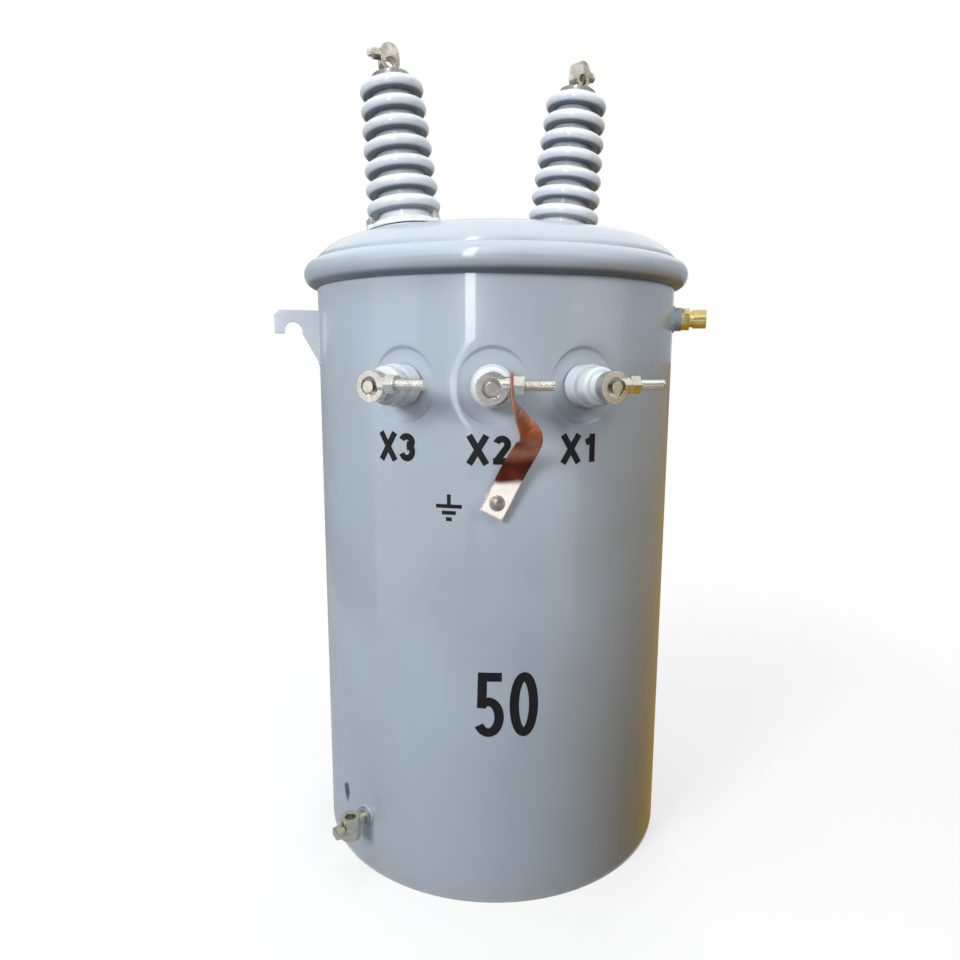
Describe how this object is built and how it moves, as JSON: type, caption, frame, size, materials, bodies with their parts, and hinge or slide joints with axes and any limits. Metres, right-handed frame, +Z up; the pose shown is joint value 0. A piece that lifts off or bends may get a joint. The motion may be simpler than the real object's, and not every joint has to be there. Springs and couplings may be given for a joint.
{
  "type": "pole mounted transformer",
  "caption": "Pole mounted distribution transformer with a round tank, clamped domed cover, ribbed porcelain bushings on top, low voltage terminals on the front and hanger brackets on the back.",
  "frame": {"origin": "centre of the flat tank bottom, on the tank axis, on the floor", "axes": "+Z up along the tank axis, -Y towards the row of low voltage terminals (the front), +X to the right seen from the front, +Y towards the pole"},
  "size_m": [0.5343, 0.5919, 1.0373],
  "materials": {
    "tank_paint": "gloss light grey paint",
    "tank_bottom_paint": "light grey paint",
    "gasket_rubber": "matt black rubber",
    "core_steel": "dark, sealed inside",
    "porcelain": "glazed pale grey porcelain",
    "cap_metal": "grey metal",
    "ring_metal": "pale cast metal",
    "tinned_bronze": "tin plated bronze",
    "copper": "bare copper, browned",
    "bare_steel": "bare steel",
    "brass": "bright brass",
    "earth_bronze": "tin plated bronze, dulled"
  },
  "bodies": {
    "root": {"tank_shell": "tank_paint", "tank_bottom": "tank_bottom_paint", "cover": "tank_paint", "cover_gasket": "gasket_rubber", "cover_band": "tank_paint", "core_and_coils": "core_steel", "hv_gaskets": "gasket_rubber", "hv_clamp_rings": "ring_metal", "hv_porcelain_left": "porcelain", "hv_porcelain_right": "porcelain", "hv_caps": "cap_metal", "hv_terminal_left": "tinned_bronze", "hv_terminal_right": "tinned_bronze", "hv_clamp_screws": "tinned_bronze", "lv_gaskets": "gasket_rubber", "lv_porcelain_x1": "porcelain", "lv_porcelain_x2": "porcelain", "lv_porcelain_x3": "porcelain", "lv_studs": "tinned_bronze", "lv_eyebolt_x1": "tinned_bronze", "lv_eyebolt_x2": "tinned_bronze", "lv_eyebolt_x3": "tinned_bronze", "lv_nuts": "tinned_bronze", "ground_strap": "copper", "ground_pad": "bare_steel", "lifting_lug_left": "tank_paint", "lifting_lug_right": "tank_paint", "relief_boss": "tank_paint", "relief_valve": "brass", "earth_boss": "bare_steel", "earth_connector": "earth_bronze", "hanger_upper": "tank_paint", "hanger_lower": "tank_paint"}
  },
  "joints": []
}
